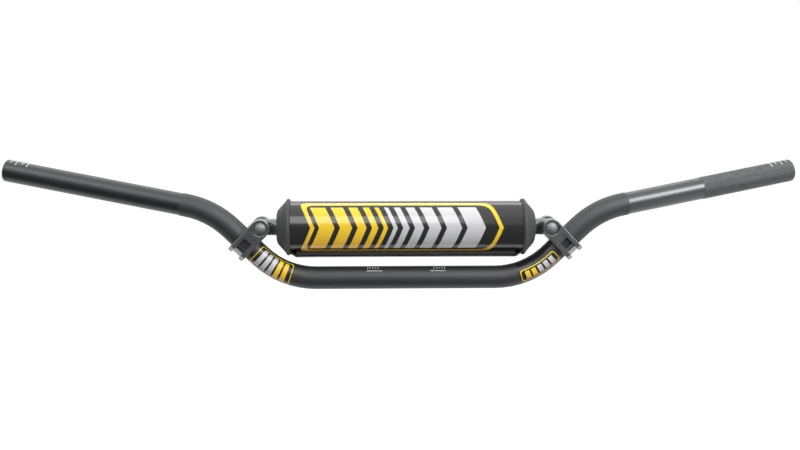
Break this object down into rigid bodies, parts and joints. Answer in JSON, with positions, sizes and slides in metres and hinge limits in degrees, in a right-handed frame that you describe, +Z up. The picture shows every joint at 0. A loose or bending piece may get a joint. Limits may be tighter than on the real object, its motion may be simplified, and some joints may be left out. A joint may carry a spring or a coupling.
{
  "type": "motocross handlebar",
  "caption": "Bent aluminium motocross handlebar with a padded crossbar, held by two clamps with pivot bolts.",
  "frame": {"origin": "middle of the bar's straight clamping run, on its axis", "axes": "+X along the clamping run to the rider's left, +Y back towards the rider, where the grips sweep, +Z up in the plane of the uprights"},
  "size_m": [0.7835, 0.0699, 0.1239],
  "materials": {
    "bar_anodised": "bead-blasted and black anodised, turned bright at the grip seats, diamond knurled on the left grip",
    "crossbar_anodised": "black anodised",
    "clamp_painted": "cast aluminium, satin black powder coat",
    "bolt_steel": "dark zinc-plated steel, domed",
    "zinc_steel": "zinc plated",
    "nylon": "blue nylon ring",
    "foam": "closed-cell foam",
    "vinyl": "glossy coated vinyl with printed stripes",
    "moulded_cap": "finely pebbled moulded rubber",
    "hook_tape": "woven hook tape",
    "loop_tape": "napped loop tape",
    "sticker": null
  },
  "bodies": {
    "root": {"handlebar_tube": "bar_anodised", "crossbar_tube": "crossbar_anodised", "crossbar_end_left": "crossbar_anodised", "crossbar_end_right": "crossbar_anodised", "clamp_left": "clamp_painted", "clamp_right": "clamp_painted", "pivot_bolt_left": "bolt_steel", "pivot_bolt_right": "bolt_steel", "washer_left": "zinc_steel", "washer_right": "zinc_steel", "lock_nut_left": "zinc_steel", "lock_nut_right": "zinc_steel", "lock_insert_left": "nylon", "lock_insert_right": "nylon", "pad_foam": "foam", "pad_cover": "vinyl", "pad_end_cap_left": "moulded_cap", "pad_end_cap_right": "moulded_cap", "closure_hook_strip": "hook_tape", "closure_loop_strip": "loop_tape", "decal_left": "sticker", "decal_right": "sticker"}
  },
  "joints": []
}
